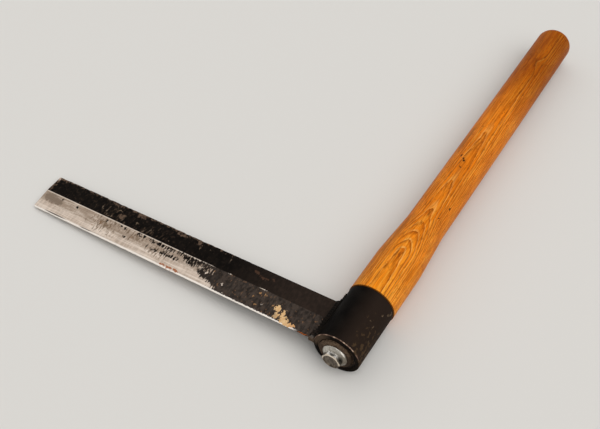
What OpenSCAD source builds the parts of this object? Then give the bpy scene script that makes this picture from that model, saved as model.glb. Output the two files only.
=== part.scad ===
// Froe with a straight blade welded to a tube socket. A turned handle seats in the socket,
// and a lag screw through the socket's base plate draws it home.
// The tool lies on its side as it would on a bench: Y runs along the handle to its free end,
// the blade points to -X, and Z is up from the floor at Z = 0. The origin is on the floor
// under the middle of the whole tool.
// Every piece is drawn standing in the tool's own place first, with Y along the handle's axis
// from the socket's lower rim and Z square to the flat of the blade, and is then laid down.

/* [Blade] */
// Distance from the handle's axis to the tip of the blade
blade_reach = 326.8; // [220:0.1:420]
// Width from the cutting edge to the spine
blade_w = 39.2; // [32:0.1:44]
// Thickness at the spine
blade_t = 6.4; // [4.5:0.1:8]
// Width of the flat beside the spine, before the bevel starts
spine_flat_w = 18.3; // [10:0.1:22]
// Width of the narrow honed bevel along the edge
honed_w = 2.0; // [1:0.1:3]
// Thickness of the blade where the honed bevel starts
honed_t = 1.6; // [1:0.1:2.5]
// Thickness left on the dull cutting edge
edge_t = 0.4; // [0.2:0.1:0.8]
// Height of the cutting edge above the socket's lower rim
edge_lift = 2.4; // [1.5:0.1:4]
// How much shorter the cutting edge is than the spine at the tip
tip_rake = 1.6; // [0:0.1:4]
// Radius of the worn corners at the tip
tip_corner_r = 1.2; // [0.5:0.1:3]

/* [Socket] */
// Outside diameter of the socket tube
socket_d = 40.5; // [36:0.1:46]
// Wall of the socket tube
socket_wall = 3.5; // [2.5:0.1:4]
// Length of the socket tube
socket_h = 54.6; // [52:0.1:70]
// Chamfer worn on the outer rims of the tube
rim_chamfer = 0.6; // [0.2:0.1:1]
// Thickness of the plate that closes the lower end of the tube
plate_t = 4.0; // [3:0.1:6]
// Depth of the plate's face inside the tube
plate_recess = 0.7; // [0.5:0.1:3]
// Gap between the plate's edge and the tube's bore
plate_gap = 0.1; // [0.05:0.05:0.3]

/* [Welds] */
// Radius of the hollow face of the bead between the blade and the socket
root_weld_r = 8.0; // [5:0.1:9]
// Width of that bead on the blade
root_weld_leg = 6.0; // [4:0.1:8]
// Radius of the bead in the corner between the spine and the socket
spine_weld_r = 5.5; // [3:0.1:7]
// Depth that the spine is cut away under that bead, at the socket
spine_prep = 1.5; // [0.5:0.1:3]
// Height of the bead below the cutting edge
edge_weld_h = 1.4; // [0.6:0.1:1.5]
// Chamfer round the base plate that the weld fills
base_weld_prep = 1.5; // [0.8:0.1:2.5]
// Height of that weld's crown over the plate's face
base_weld_crown = 0.4; // [0.1:0.1:0.5]

/* [Handle] */
// Length of the handle outside the socket
handle_l = 403.9; // [300:0.1:500]
// How far the handle's swell stands proud of the socket
swell_proud = 0.6; // [0.2:0.1:2]
// Length of the swell above the socket
swell_l = 47.5; // [30:0.1:60]
// Length of the taper from the swell down to the grip
taper_l = 47.5; // [30:0.1:70]
// Diameter of the grip
grip_d = 35.4; // [30:0.1:38]
// Radius of the small round on the shoulder's outer corner
shoulder_round = 0.8; // [0.3:0.1:1.5]
// Radius that softens both ends of the taper
taper_blend = 80; // [20:1:120]
// Radius of the round at the free end
end_round = 8.0; // [3:0.1:12]
// Height of the shallow dome inside that round
end_dome = 1.0; // [0.5:0.1:2]
// Gap between the tenon and the tube's bore
tenon_gap = 0.15; // [0.05:0.05:0.4]
// Gap between the tenon's end and the base plate
tenon_end_gap = 0.8; // [0.3:0.1:2]

/* [Screw and washer] */
// Diameter of the lag screw's shank and thread
screw_d = 9.5; // [8:0.1:11]
// Length of the lag screw under its head
screw_l = 76; // [60:1:90]
// Length of the plain shank before the thread starts
shank_l = 26; // [15:1:35]
// Pitch of the lag thread
thread_pitch = 3.6; // [2.5:0.1:4.5]
// Depth of the lag thread
thread_depth = 1.5; // [0.8:0.1:2]
// Height of the hexagon above the flange's outer edge
hex_h = 6.1; // [5:0.1:8]
// Thickness of the flange at its outer edge
flange_edge_t = 1.0; // [0.6:0.1:1.6]
// Slope of the flange up to the hexagon
flange_slope = 30; // [15:1:35]
// Width of the flange outside the hexagon's corners
flange_ledge = 2.5; // [1.5:0.1:3]
// Turn of the hexagon about the screw's axis
hex_turn = -5; // [-30:1:30]
// Thickness of the washer
washer_t = 2.1; // [1.6:0.1:2.6]
// Play between the washer's hole and the screw
washer_play = 0.7; // [0.4:0.1:1.5]
// Gap between the washer and the base weld where they come closest
washer_gap = 0.35; // [0.05:0.05:0.5]
// Gap round the screw in the base plate's hole
plate_hole_gap = 0.5; // [0.2:0.1:1]
// Gap between the screw's thread and its hole in the handle
thread_gap = 0.05; // [0.02:0.01:0.2]

/* [Hidden] */
$fn = 96;
SLACK = 1;

socket_r = socket_d / 2;
bore_r = socket_r - socket_wall;
swell_r = socket_r + swell_proud;
grip_r = grip_d / 2;
handle_top = socket_h + handle_l;

spine_y = edge_lift + blade_w;
bevel_y = spine_y - spine_flat_w;
honed_y = edge_lift + honed_w;
bevel_angle = atan2((blade_t - honed_t) / 2, bevel_y - honed_y);

plate_y = plate_recess;
plate_r = bore_r - plate_gap;
tenon_y = plate_y + plate_t + tenon_end_gap;
tenon_r = bore_r - tenon_gap;

screw_r = screw_d / 2;
hex_af = 1.5 * screw_d;
hex_r = hex_af / 2 / cos(30);
flange_r = hex_r + flange_ledge;
washer_r = plate_r - base_weld_prep - washer_play - washer_gap;
seat_y = plate_y - washer_t;
flange_y = seat_y - flange_edge_t;
head_y = flange_y - hex_h;
shank_end_y = seat_y + shank_l;
screw_tip_y = seat_y + screw_l;

// The tool rests on the swell and on the lower corner of the blade's tip
lie_roll = asin(swell_r / norm([blade_reach, blade_t / 2])) - atan2(blade_t / 2, blade_reach);
tip_x = -blade_reach * cos(lie_roll) - blade_t / 2 * sin(lie_roll);
middle = [(tip_x + swell_r) / 2, (head_y + handle_top) / 2, -swell_r];

// Lays a piece down on the floor and moves the middle of the tool over the origin
module lie() {
    translate(-middle)
        rotate([0, -lie_roll, 0])
            children();
}

// Turns an outline of radius and height into a body about the handle's axis
module turned() {
    rotate([-90, 0, 0])
        rotate_extrude()
            children();
}

// Round bar along the handle's axis, from one height to another
module bar(r, from_y, to_y) {
    translate([0, from_y, 0])
        rotate([-90, 0, 0])
            cylinder(r = r, h = to_y - from_y);
}

// Points of the arc of radius r that rounds corner b of the outline a, b, c
function rounded(a, b, c, r, steps = 6) =
    let (
        u = (a - b) / norm(a - b),
        v = (c - b) / norm(c - b),
        half = acos(u * v) / 2,
        centre = b + (u + v) / norm(u + v) * r / sin(half),
        from = b + u * r / tan(half) - centre,
        start = atan2(from.y, from.x),
        sweep = (u.x * v.y - u.y * v.x > 0 ? -1 : 1) * (180 - 2 * half)
    )
    [for (k = [0:steps]) centre + r * [cos(start + sweep * k / steps), sin(start + sweep * k / steps)]];

// Section of the blade across its length, from the edge to the spine
module blade_section() {
    polygon([
        [edge_lift, -edge_t / 2],
        [honed_y, -honed_t / 2],
        [bevel_y, -blade_t / 2],
        [spine_y, -blade_t / 2],
        [spine_y, blade_t / 2],
        [bevel_y, blade_t / 2],
        [honed_y, honed_t / 2],
        [edge_lift, edge_t / 2]
    ]);
}

// Plan of the blade: the tip is a little out of square and its corners are worn, and the
// spine is cut away where the weld covers it, so that the struck face ends at the weld
module blade_plan() {
    edge_corner = [-blade_reach + tip_rake, edge_lift];
    spine_corner = [-blade_reach, spine_y];
    polygon(concat(
        [[0, edge_lift]],
        rounded([0, edge_lift], edge_corner, spine_corner, tip_corner_r),
        rounded(edge_corner, spine_corner, [0, spine_y], tip_corner_r),
        [
            [-socket_r - spine_weld_r, spine_y],
            [-socket_r, spine_y - spine_prep],
            [0, spine_y - spine_prep]
        ]
    ));
}

module blade_body() {
    difference() {
        intersection() {
            translate([-blade_reach - SLACK, 0, 0])
                rotate([90, 0, 90])
                    linear_extrude(blade_reach + SLACK)
                        blade_section();
            translate([0, 0, -blade_t])
                linear_extrude(2 * blade_t)
                    blade_plan();
        }
        bar(socket_r, -SLACK, socket_h + SLACK);
    }
}

module blade() {
    color("#4a4541")
        lie()
            blade_body();
}

// Bead along one face of the blade: the face is at z = 0 and the bead runs to +Y
module face_bead(length) {
    difference() {
        translate([-socket_r - root_weld_leg, 0, -blade_t / 2])
            cube([root_weld_leg + socket_r / 2, length, blade_t / 2 + root_weld_r]);
        translate([-socket_r - root_weld_leg, -SLACK, root_weld_r])
            rotate([-90, 0, 0])
                cylinder(r = root_weld_r, h = length + 2 * SLACK);
    }
}

// Beads beside the spine flat and down the bevel, on the upper face
module half_weld() {
    bevel_run = (bevel_y - edge_lift + edge_weld_h) / cos(bevel_angle);
    translate([0, bevel_y - SLACK, blade_t / 2])
        face_bead(spine_flat_w + spine_weld_r + SLACK);
    translate([0, bevel_y, blade_t / 2])
        rotate([bevel_angle, 0, 0])
            translate([0, -bevel_run, 0])
                face_bead(bevel_run);
}

// One bead runs all round the root of the blade, and is hollow in the corner above the spine
module blade_weld() {
    color("#2b2725")
        lie()
            difference() {
                union() {
                    half_weld();
                    mirror([0, 0, 1])
                        half_weld();
                }
                blade_body();
                bar(socket_r, -SLACK, socket_h + SLACK);
                translate([-socket_r - spine_weld_r, spine_y + spine_weld_r, -socket_r])
                    cylinder(r = spine_weld_r, h = socket_d);
                translate([-blade_reach, spine_y, -socket_r])
                    cube([blade_reach - socket_r - spine_weld_r, spine_weld_r + SLACK, socket_d]);
                translate([-blade_reach, edge_lift - edge_weld_h - blade_reach, -blade_reach / 2])
                    cube(blade_reach);
                translate([-blade_reach, socket_h, -blade_reach / 2])
                    cube(blade_reach);
            }
}

// Open tube that carries the blade and holds the handle's tenon
module socket() {
    color("#262322")
        lie()
            turned()
                polygon([
                    [bore_r, 0],
                    [socket_r - rim_chamfer, 0],
                    [socket_r, rim_chamfer],
                    [socket_r, socket_h - rim_chamfer],
                    [socket_r - rim_chamfer, socket_h],
                    [bore_r, socket_h]
                ]);
}

// Disc that closes the lower end of the tube and takes the pull of the screw
module base_plate() {
    hole_r = screw_r + plate_hole_gap;
    color("#2d2a28")
        lie()
            turned()
                polygon([
                    [hole_r, plate_y],
                    [plate_r - base_weld_prep, plate_y],
                    [plate_r, plate_y + base_weld_prep],
                    [plate_r, plate_y + plate_t],
                    [hole_r, plate_y + plate_t]
                ]);
}

// Ring of weld that fills the groove between the base plate and the tube, with a low crown
module base_weld() {
    inside = plate_r - base_weld_prep;
    crown = [
        for (share = [0:1/6:1])
            [inside + (bore_r - inside) * share, plate_y - base_weld_crown * sin(180 * share)]
    ];
    color("#211e1d")
        lie()
            turned()
                polygon(concat(
                    crown,
                    [[bore_r, plate_y + base_weld_prep], [plate_r, plate_y + base_weld_prep]]
                ));
}

// Turned handle: tenon in the socket, swell, taper and straight grip with a round end
module handle() {
    swell_top = [swell_r, socket_h + swell_l];
    grip_start = [grip_r, socket_h + swell_l + taper_l];
    shoulder = [swell_r, socket_h];
    end_corner = [grip_r, handle_top - end_dome];
    end_middle = [0, handle_top];
    tenon_corner = [tenon_r, tenon_y];
    color("#c07a2c")
        lie()
            difference() {
                turned()
                    polygon(concat(
                        [[0, tenon_y]],
                        rounded([0, tenon_y], tenon_corner, [tenon_r, socket_h], shoulder_round),
                        [[tenon_r, socket_h]],
                        rounded([tenon_r, socket_h], shoulder, swell_top, shoulder_round),
                        rounded(shoulder, swell_top, grip_start, taper_blend),
                        rounded(swell_top, grip_start, end_corner, taper_blend),
                        rounded(grip_start, end_corner, end_middle, end_round, 12),
                        [end_middle]
                    ));
                bar(screw_r + thread_gap, tenon_y - SLACK, screw_tip_y + thread_gap);
            }
}

// Flat washer, hanging against the screw by the play in its hole
module washer() {
    color("#6f5a49")
        lie()
            translate([-washer_play, 0, 0])
                difference() {
                    bar(washer_r, seat_y, plate_y);
                    bar(screw_r + washer_play, seat_y - SLACK, plate_y + SLACK);
                }
}

// Lag screw with a hexagon head, a sloping flange, a plain shank and a coarse thread with a point
module lag_screw() {
    turns = floor((screw_l - shank_l - 2 * screw_r) / thread_pitch);
    root_r = screw_r - thread_depth;
    thread_top = shank_end_y + turns * thread_pitch;
    // Radius of each corner of one ridge, and its place as a share of the pitch
    ridge_foot = [root_r, 0.55];
    ridge_crest_start = [screw_r, 0.7];
    ridge_crest_end = [screw_r, 0.85];
    thread = [
        for (k = [0:turns - 1], p = [[root_r, 0], ridge_foot, ridge_crest_start, ridge_crest_end])
            [p.x, shank_end_y + thread_pitch * (k + p.y)]
    ];
    chamfer_h = hex_r - hex_af / 2;
    cone_r = hex_af / 2 - SLACK;
    cone_y = flange_y - (flange_r - cone_r) * tan(flange_slope);
    color("#a5a39c")
        lie() {
            turned()
                polygon(concat(
                    [
                        [0, cone_y],
                        [cone_r, cone_y],
                        [flange_r, flange_y],
                        [flange_r, seat_y],
                        [screw_r, seat_y],
                        [screw_r, shank_end_y]
                    ],
                    thread,
                    [[root_r, thread_top], [0, screw_tip_y]]
                ));
            intersection() {
                translate([0, head_y, 0])
                    rotate([-90, 0, 0])
                        rotate([0, 0, -hex_turn])
                            cylinder(r = hex_r, h = hex_h, $fn = 6);
                turned()
                    polygon([
                        [0, head_y],
                        [hex_af / 2, head_y],
                        [hex_r + chamfer_h, head_y + 2 * chamfer_h * tan(30)],
                        [hex_r + chamfer_h, flange_y],
                        [0, flange_y]
                    ]);
            }
        }
}

blade();
blade_weld();
socket();
base_plate();
base_weld();
handle();
washer();
lag_screw();
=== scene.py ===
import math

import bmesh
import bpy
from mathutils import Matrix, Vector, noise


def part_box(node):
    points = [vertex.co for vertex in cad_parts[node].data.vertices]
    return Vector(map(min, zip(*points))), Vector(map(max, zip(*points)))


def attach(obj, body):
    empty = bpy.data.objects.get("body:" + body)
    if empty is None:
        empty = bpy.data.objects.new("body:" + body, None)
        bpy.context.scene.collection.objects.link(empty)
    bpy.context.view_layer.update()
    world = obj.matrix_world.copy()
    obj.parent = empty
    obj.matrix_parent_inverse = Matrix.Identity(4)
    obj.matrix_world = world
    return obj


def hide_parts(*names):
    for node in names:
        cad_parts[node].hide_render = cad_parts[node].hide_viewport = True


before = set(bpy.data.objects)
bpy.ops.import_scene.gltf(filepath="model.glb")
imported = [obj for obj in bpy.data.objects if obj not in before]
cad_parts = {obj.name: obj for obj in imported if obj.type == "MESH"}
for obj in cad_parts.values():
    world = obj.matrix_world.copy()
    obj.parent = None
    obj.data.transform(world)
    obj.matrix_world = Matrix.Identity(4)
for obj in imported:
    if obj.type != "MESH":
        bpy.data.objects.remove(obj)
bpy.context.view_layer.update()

# A splitting froe lying on a pale studio floor: the finish and the fine shape of each piece.
# Pieces are modelled in millimetres, standing in the tool's own place: the handle's axis is Y,
# the socket's lower rim is at y = 0, the blade points to -X and Z is square to its flat. lay()
# then puts a finished piece down on the floor, in metres. Patterns read the same millimetres.

MM = 0.001

# Driving sizes of the tool, in millimetres
BLADE_REACH = 326.8
BLADE_T = 6.4
SPINE_FLAT_W = 18.3
HONED_W = 2.0
HONED_T = 1.6
EDGE_T = 0.4
TIP_RAKE = 1.6
TIP_CORNER_R = 1.2
SPINE_WELD_R = 5.5
SPINE_PREP = 1.5
SOCKET_R = 20.25
SOCKET_WALL = 3.5
RIM_ROUND = 0.6
PLATE_T = 4.0
PLATE_RECESS = 0.7
PLATE_GAP = 0.1
BASE_WELD_PREP = 1.5
BASE_WELD_CROWN = 0.4
SWELL_L = 47.5
TAPER_L = 47.5
GRIP_R = 17.7
SHOULDER_ROUND = 0.8
TAPER_BLEND = 80.0
END_ROUND = 8.0
END_DOME = 1.0
TENON_GAP = 0.15
TENON_END_GAP = 0.8
SCREW_R = 4.75
SCREW_L = 76.0
SHANK_L = 26.0
THREAD_PITCH = 3.6
THREAD_DEPTH = 1.5
THREAD_GAP = 0.05
HEX_ACROSS = 14.25
HEX_H = 6.1
HEX_TURN = math.radians(-5)
FLANGE_EDGE_T = 1.0
FLANGE_SLOPE = math.radians(30)
FLANGE_LEDGE = 2.5
WASHER_T = 2.1
WASHER_PLAY = 0.7
WASHER_GAP = 0.35

# Places worked out from the frame and from those sizes
SOCKET_LOW, SOCKET_HIGH = (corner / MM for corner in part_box("socket"))
BLADE_LOW, BLADE_HIGH = (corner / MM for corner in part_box("blade"))
HANDLE_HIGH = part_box("handle")[1] / MM
SOCKET_H = SOCKET_HIGH.y - SOCKET_LOW.y
HANDLE_TOP = HANDLE_HIGH.y - SOCKET_LOW.y
EDGE_Y = BLADE_LOW.y - SOCKET_LOW.y
SPINE_Y = BLADE_HIGH.y - SOCKET_LOW.y
BEVEL_Y = SPINE_Y - SPINE_FLAT_W
HONED_Y = EDGE_Y + HONED_W
BORE_R = SOCKET_R - SOCKET_WALL
PLATE_Y = PLATE_RECESS
PLATE_R = BORE_R - PLATE_GAP
TENON_Y = PLATE_Y + PLATE_T + TENON_END_GAP
HEX_R = HEX_ACROSS / 2 / math.cos(math.radians(30))
FLANGE_R = HEX_R + FLANGE_LEDGE
WASHER_R = PLATE_R - BASE_WELD_PREP - WASHER_PLAY - WASHER_GAP
SEAT_Y = PLATE_Y - WASHER_T
FLANGE_Y = SEAT_Y - FLANGE_EDGE_T
HEAD_Y = FLANGE_Y - HEX_H
SHANK_END_Y = SEAT_Y + SHANK_L
SCREW_TIP_Y = SEAT_Y + SCREW_L
AXIS = (SOCKET_LOW + SOCKET_HIGH) / 2
AXIS.y = SOCKET_LOW.y
SWELL_R = HANDLE_HIGH.z - AXIS.z
HALF_T = BLADE_T / 2

# The tool lies on its swell and on the lower corner of the blade's tip, so it is rolled a little
LIE_ROLL = math.asin(AXIS.z / math.hypot(BLADE_REACH, HALF_T)) - math.atan2(HALF_T, BLADE_REACH)
LAID = Matrix.Scale(MM, 4) @ Matrix.Translation(AXIS) @ Matrix.Rotation(-LIE_ROLL, 4, "Y")

# Camera, fitted to the photograph: millimetres and degrees
CAMERA_AT = Vector((332.751, -541.015, 579.529))
CAMERA_AZIMUTH = 33.504
CAMERA_ELEVATION = 47.746
CAMERA_ROLL = -1.733
CAMERA_LENS = 51.588

# Light: the way to each lamp, its strength and its spread in degrees, and how bright the room
# is as light, and as what the camera and the metal see
LAMPS = (
    ("key", (0.5, -0.2, 0.85), 1.75, 65),
    ("back", (-0.55, 0.35, 0.75), 0.5, 65),
)
ROOM_LIGHT = 0.42
ROOM_SEEN = 0.6

TURNED_STEPS = 128
SMOOTH_ANGLE = math.radians(38)

# Some mesh operations leave their result in another order each run, so it is sorted: by Y
# first, then by X, and Z parts the two sides
ORDER_ALONG = Vector((1.0, 1009.0, 0.12))

# Wear of the shapes: how deep each kind goes at most, and how wide it is, in millimetres
HANDLE_UNEVEN = 0.16
SPINE_BROKEN = 0.45
RIDGE_BROKEN = 0.3
BEATEN_W = 3.0
BEATEN_DEPTH = 1.1
BEATEN_SIDE = 0.25
BEATEN_START = -70.0
BEATEN_RUN = 90.0
BEATEN_LEAST = 0.1
NICK_DEPTH = 0.6
EDGE_WAVE = 0.1
GROUND_DIP = 0.09
WELD_RIPPLE_W = 2.3
WELD_RIPPLE = 0.16
WELD_LUMP = 0.22
WELD_SINK = 0.12
WELD_MESH = 0.35
WELD_MARGIN = 0.9
WELD_BOW = 0.09
RIM_DENT = 0.35
RING_RIPPLES = 46
RING_RIPPLE = 0.16
WASHER_WEAR = 0.12

# Where the blade's root meets the tube, and where its weld begins
ROOT_X = -SOCKET_R + 0.5
WELD_FOOT_X = -SOCKET_R - SPINE_WELD_R


def linear(code):
    """An sRGB hex colour as the linear values that a shader takes."""
    parts = [int(code[k:k + 2], 16) / 255 for k in (1, 3, 5)]
    return [c / 12.92 if c <= 0.04045 else ((c + 0.055) / 1.055) ** 2.4 for c in parts] + [1.0]


def add(tree, kind, values=(), out=0, **settings):
    """Adds a shader node, fills its inputs with values or links, and returns one of its outputs."""
    made = tree.nodes.new("ShaderNode" + kind)
    for name, value in settings.items():
        setattr(made, name, value)
    in_use = [socket for socket in made.inputs if socket.enabled]
    for key, value in values.items() if isinstance(values, dict) else enumerate(values):
        socket = in_use[key] if isinstance(key, int) else made.inputs[key]
        if isinstance(value, bpy.types.NodeSocket):
            tree.links.new(value, socket)
        else:
            socket.default_value = linear(value) if isinstance(value, str) else value
    return [socket for socket in made.outputs if socket.enabled][out]


def new_material(name):
    """An empty node material, its tree, and the place on the tool in millimetres."""
    material = bpy.data.materials.new(name)
    material.use_nodes = True
    tree = material.node_tree
    tree.nodes.clear()
    here = add(tree, "TexCoord", out=3)
    place = add(tree, "Mapping", {
        "Vector": here,
        "Location": AXIS * MM,
        "Rotation": (0, -LIE_ROLL, 0),
        "Scale": (MM, MM, MM),
    }, vector_type="TEXTURE")
    return material, tree, place


def finish_surface(tree, relief, depth, **shader):
    """Ends a material in one shader, with a relief whose full height is depth millimetres."""
    values = {name.replace("_", " "): value for name, value in shader.items()}
    values["Normal"] = add(tree, "Bump", {"Height": relief, "Distance": depth * MM, "Strength": 1.0})
    surface = add(tree, "BsdfPrincipled", values)
    tree.links.new(surface, tree.nodes.new("ShaderNodeOutputMaterial").inputs["Surface"])


def patches(tree, place, size, start, end, detail=4.0, seed=0.0):
    """Irregular patches of a real size in mm: 0 where the noise is below start, 1 above end."""
    local = add(tree, "Mapping", {
        "Vector": place,
        "Location": (seed, 0, seed),
        "Scale": size,
    }, vector_type="TEXTURE")
    cloud = add(tree, "TexNoise", {"Vector": local, "Scale": 1.0, "Detail": detail})
    return add(tree, "MapRange", (cloud, start, end))


def torn(tree, place, grain, reach):
    """The same place pushed about by noise of that grain in mm, so that marks read ragged."""
    size = (grain, grain, grain)
    ways = [patches(tree, place, size, 0.0, 1.0, detail=3, seed=seed) for seed in (51, 63, 75)]
    push = add(tree, "VectorMath", (add(tree, "CombineXYZ", ways), (0.5, 0.5, 0.5)), operation="SUBTRACT")
    return add(tree, "VectorMath", (push, (2 * reach,) * 3, place), operation="MULTIPLY_ADD")


def combine(tree, *masks, by="MULTIPLY"):
    """One mask out of several: where all of them are, or what another Math operation makes."""
    whole = masks[0]
    for mask in masks[1:]:
        whole = add(tree, "Math", (whole, mask), operation=by)
    return whole


def zone(tree, *ramps):
    """A region as a mask: each ramp is a coordinate, where it is 0, where it is 1, and they multiply."""
    return combine(tree, *[add(tree, "MapRange", ramp) for ramp in ramps])


def inverse(tree, mask):
    """What a mask leaves over: 1 where it is 0, and 0 where it is 1."""
    return add(tree, "Math", (1.0, mask), operation="SUBTRACT")


def axes(tree, place):
    """The X, Y and Z of a place, in mm."""
    return add(tree, "SeparateXYZ", (place,)).node.outputs


def from_line(tree, place, line=(0, 0, 0)):
    """How far each place is, in mm, from the line along Y through that point."""
    across = add(tree, "VectorMath", (place, (1, 0, 1)), operation="MULTIPLY")
    return add(tree, "VectorMath", (across, line), operation="DISTANCE")


def spots(tree, place, marks, soft=0.3):
    """Marks on one face or side: each is a centre and a half size in mm, 1 inside and 0 outside."""
    found = []
    for *centre, size in marks:
        scale = [1 / half for half in size]
        shift = [-c / half for c, half in zip(centre, size)]
        local = add(tree, "VectorMath", (place, scale, shift), operation="MULTIPLY_ADD")
        away = add(tree, "VectorMath", (local,), operation="LENGTH")
        found.append(add(tree, "MapRange", (away, 1.0, 1.0 - soft)))
    return combine(tree, *found, by="MAXIMUM")


def crumbled(tree, mask, weight, grain, need, edge=0.06, fade=0.15):
    """A soft mask broken up by a grain of noise: 1 where the two together pass what is needed."""
    together = add(tree, "Math", (mask, weight, grain), operation="MULTIPLY_ADD")
    return zone(tree, (together, need, need + edge), (mask, 0.0, fade))


def layers(tree, ground, *coats):
    """Colours laid over each other: each coat is its mask, how far it covers there, and a colour."""
    colour = linear(ground) if isinstance(ground, str) else ground
    for mask, cover, coat in coats:
        share = add(tree, "Math", (mask, cover), operation="MULTIPLY")
        colour = add(tree, "Mix", (share, colour, linear(coat)), data_type="RGBA")
    return colour


# The pith lies under the handle, so that the rings are tangent to the side that faces up
RING_W = 0.98
PITH = Vector((-13.9, 0.0, -99.0))
FIRST_ARCH = 120.3
GRAIN_WAVE = 0.5
GRAIN_RIPPLE = 0.35

# How the rings run out through the handle: from one height to another, and by how much
GRAIN_FALLS = ((40.0, 295.0, 3.3), (104.0, 128.0, 0.1), (156.0, 198.0, 0.45))
GRAIN_DIP = (5.0, 391.0, 16.9, (9.0, 17.0, 7.0))
GRAIN_DIP_DEPTH = 0.95

# Where the rings turn faint, and where painted shade darkens the wood as the light falls off along it,
# and by what tone
FAINT_Y = (266.0, 288.0)
FAINT_X = (6.6, 4.0)
FALLOFF_SHADE = ((60.0, 160.0, "#eedfd0"), (300.0, 375.0, "#c0b693"))

# Black pits and dark streaks in the upper side of the wood: where, and half their size
PITS = (
    (1.2, 216.2, 17.7, (1.3, 1.6, 1.2)),
    (0.4, 225.2, 17.7, (1.7, 1.9, 1.4)),
    (-0.9, 227.6, 17.6, (1.3, 1.8, 1.2)),
    (-4.4, 230.7, 17.1, (1.1, 2.4, 1.1)),
    (10.7, 153.2, 14.1, (0.8, 1.0, 0.9)),
    (13.6, 169.6, 11.3, (0.8, 2.6, 0.9)),
)
DARK_GRAIN = (
    (3.0, 95.5, 20.4, (5.0, 6.5, 3.0)),
    (5.4, 189.5, 16.8, (2.2, 3.0, 1.6)),
    (3.2, 192.0, 17.4, (1.8, 2.2, 1.6)),
    (-3.1, 358.0, 17.4, (2.8, 6.5, 1.8)),
    (-1.2, 367.0, 17.6, (2.0, 5.0, 1.4)),
    (4.2, 318.0, 17.2, (2.2, 14.0, 2.0)),
    (3.4, 421.0, 17.4, (1.8, 5.0, 1.6)),
)


def varnished_ash():
    """Turned ash under amber varnish: dark bands of open pores, a pale line of late wood at each
    arch, and painted shade: deeper towards the end where the light falls off, on the left side, and at
    the socket's rim."""
    material, tree, place = new_material("amber_varnished_ash")
    x, y, _ = axes(tree, place)
    level = from_line(tree, place, PITH)
    for start, end, fall in GRAIN_FALLS:
        run_out = add(tree, "MapRange", (y, start, end, 0.0, -fall))
        level = add(tree, "Math", (level, run_out), operation="ADD")
    wave = patches(tree, place, (30, 90, 30), 0.0, 1.0, detail=1.5)
    ripple = patches(tree, place, (5, 16, 5), 0.0, 1.0, detail=1.0, seed=3)
    dip = spots(tree, place, (GRAIN_DIP,), soft=1.0)
    for change, reach in ((wave, GRAIN_WAVE), (ripple, GRAIN_RIPPLE), (dip, -GRAIN_DIP_DEPTH)):
        level = add(tree, "Math", (change, reach, level), operation="MULTIPLY_ADD")
    from_arch = add(tree, "Math", (level, FIRST_ARCH), operation="SUBTRACT")
    rings = add(tree, "Math", (from_arch, RING_W), operation="DIVIDE")
    year = add(tree, "Math", (rings,), operation="FRACT")

    # Rings are faint on the upper half's left side, and strong again round the dip in them
    quiet = zone(tree, (y, *FAINT_Y), (x, *FAINT_X))
    lively = add(tree, "MapRange", (quiet, 0.0, 1.0, 1.0, 0.2))
    lively = combine(tree, lively, zone(tree, (dip, 0.15, 0.4)), by="MAXIMUM")
    early = combine(tree, zone(tree, (year, 0.45, 0.06)), lively)

    # Pores and fibres are drawn over 1 mm wide, several times their real width, so that they show
    pores = patches(tree, place, (1.3, 7, 1.3), 0.46, 0.58, detail=2)
    pore_rows = combine(tree, early, pores)
    pale_cloud = patches(tree, place, (7, 40, 7), 0.3, 0.5, seed=23)
    late = combine(tree, zone(tree, (year, 0.74, 0.87)), pale_cloud, lively)
    fibres = patches(tree, place, (1.3, 24, 1.3), 0.42, 0.6, detail=2)
    side_lines = combine(tree, early, zone(tree, (x, 3.0, 9.0)))
    streaky = patches(tree, place, (2.0, 30, 2.0), 0.46, 0.62, detail=2, seed=61)
    light_streaks = patches(tree, place, (1.2, 40, 1.2), 0.52, 0.64, detail=2, seed=83)
    warm = patches(tree, place, (14, 50, 14), 0.42, 0.6)
    brown = patches(tree, place, (8, 30, 8), 0.5, 0.68, seed=40)
    # Painted shade: the left side, turned from the light, is painted darker and browner, most of all on
    # the swell
    shaded_left_side = zone(tree, (x, -2.0, -14.0))
    shaded_swell_side = combine(tree, shaded_left_side, zone(tree, (y, 150.0, 110.0)))
    stirred = torn(tree, place, 1.8, 2.0)
    pits = spots(tree, stirred, PITS, soft=0.5)
    dark_grain = combine(tree, spots(tree, stirred, DARK_GRAIN, soft=0.8), pores)
    ticks = patches(tree, place, (1.3, 4.5, 1.3), 0.6, 0.68, detail=2, seed=11)
    # Painted shade: a dark band on the wood just above the socket's rim, where the gap between them lies
    # in shadow
    grime_and_shade = zone(tree, (y, SOCKET_H + 1.2, SOCKET_H + 0.4))

    colour = layers(
        tree, "#fa921a",
        (warm, 0.3, "#fda12a"),
        (early, 0.62, "#c6610f"),
        (side_lines, 0.35, "#a4520a"),
        (late, 0.8, "#ffbe62"),
        (fibres, 0.5, "#b25a0c"),
        (streaky, 0.22, "#b35d0c"),
        (light_streaks, 0.42, "#ffba48"),
        (pore_rows, 0.7, "#854206"),
        (brown, 0.3, "#b0621f"),
        (shaded_swell_side, 0.3, "#a35a20"),
        (combine(tree, brown, shaded_left_side), 0.4, "#83461a"),
        (ticks, 0.45, "#85460c"),
        (dark_grain, 0.6, "#8a430f"),
        (pits, 0.97, "#241006"),
        (grime_and_shade, 0.85, "#2a1508"),
    )
    # Painted shade where the light falls off along the handle: darker in two steps, above the swell and
    # again towards the end
    for start, end, tone in FALLOFF_SHADE:
        wear_and_shade = zone(tree, (y, start, end))
        colour = add(tree, "Mix", (wear_and_shade, colour, linear(tone)), data_type="RGBA", blend_type="MULTIPLY")
    dull = add(tree, "MapRange", (pore_rows, 0.0, 1.0, 0.42, 0.55))
    sunk = add(tree, "Math", (pore_rows, 0.35), operation="MULTIPLY")
    finish_surface(
        tree, inverse(tree, combine(tree, pits, sunk, by="MAXIMUM")), 0.25,
        Base_Color=colour, Roughness=dull, IOR=1.5, Specular_IOR_Level=0.04,
    )
    return material


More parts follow.
